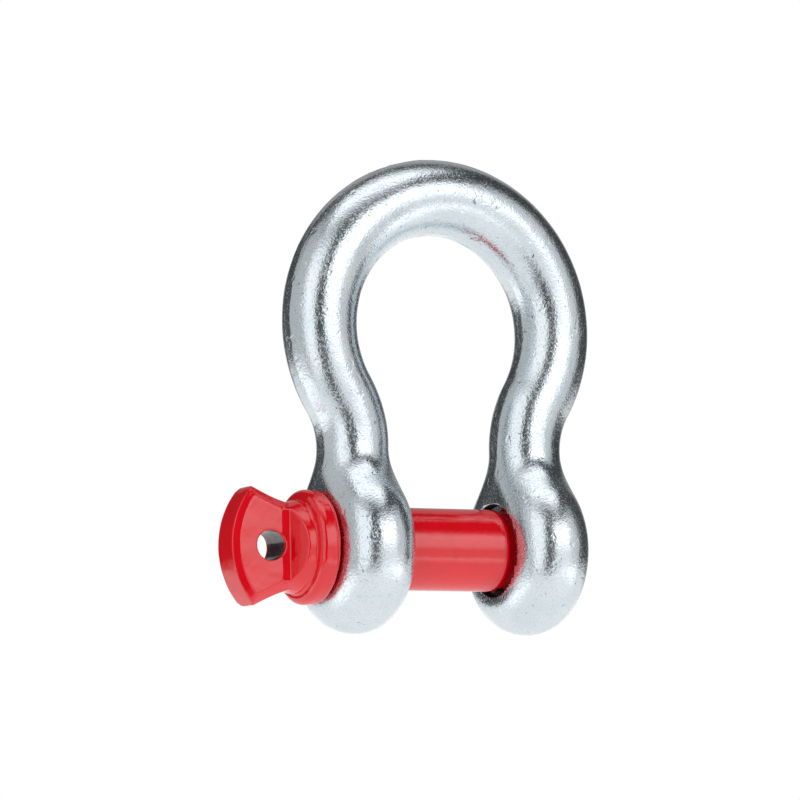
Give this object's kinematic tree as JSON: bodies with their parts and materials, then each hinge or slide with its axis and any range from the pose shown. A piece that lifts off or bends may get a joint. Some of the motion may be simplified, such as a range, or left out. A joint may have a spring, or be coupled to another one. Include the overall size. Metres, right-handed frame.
{
  "type": "bow shackle",
  "caption": "Forged steel bow shackle with a round bow, two eared legs and a screw pin whose flat fan-shaped head has a cross hole.",
  "frame": {"origin": "on the screw pin's axis, midway between the two ears", "axes": "+X along the pin from its head to its threaded tip, +Y through the bow's opening, +Z from the pin up to the crown of the bow"},
  "size_m": [0.1109, 0.046, 0.1297],
  "materials": {
    "galvanised_steel": "satin hot-dip galvanised forging",
    "red_paint": "gloss red paint over forged steel"
  },
  "bodies": {
    "bow": {"bow": "galvanised_steel"},
    "screw_pin": {"screw_pin": "red_paint"}
  },
  "joints": [
    {"name": "pin_withdraw", "type": "slide", "parent": "bow", "child": "screw_pin", "axis": [-1, 0, 0], "range_m": [0, 0.08]}
  ]
}
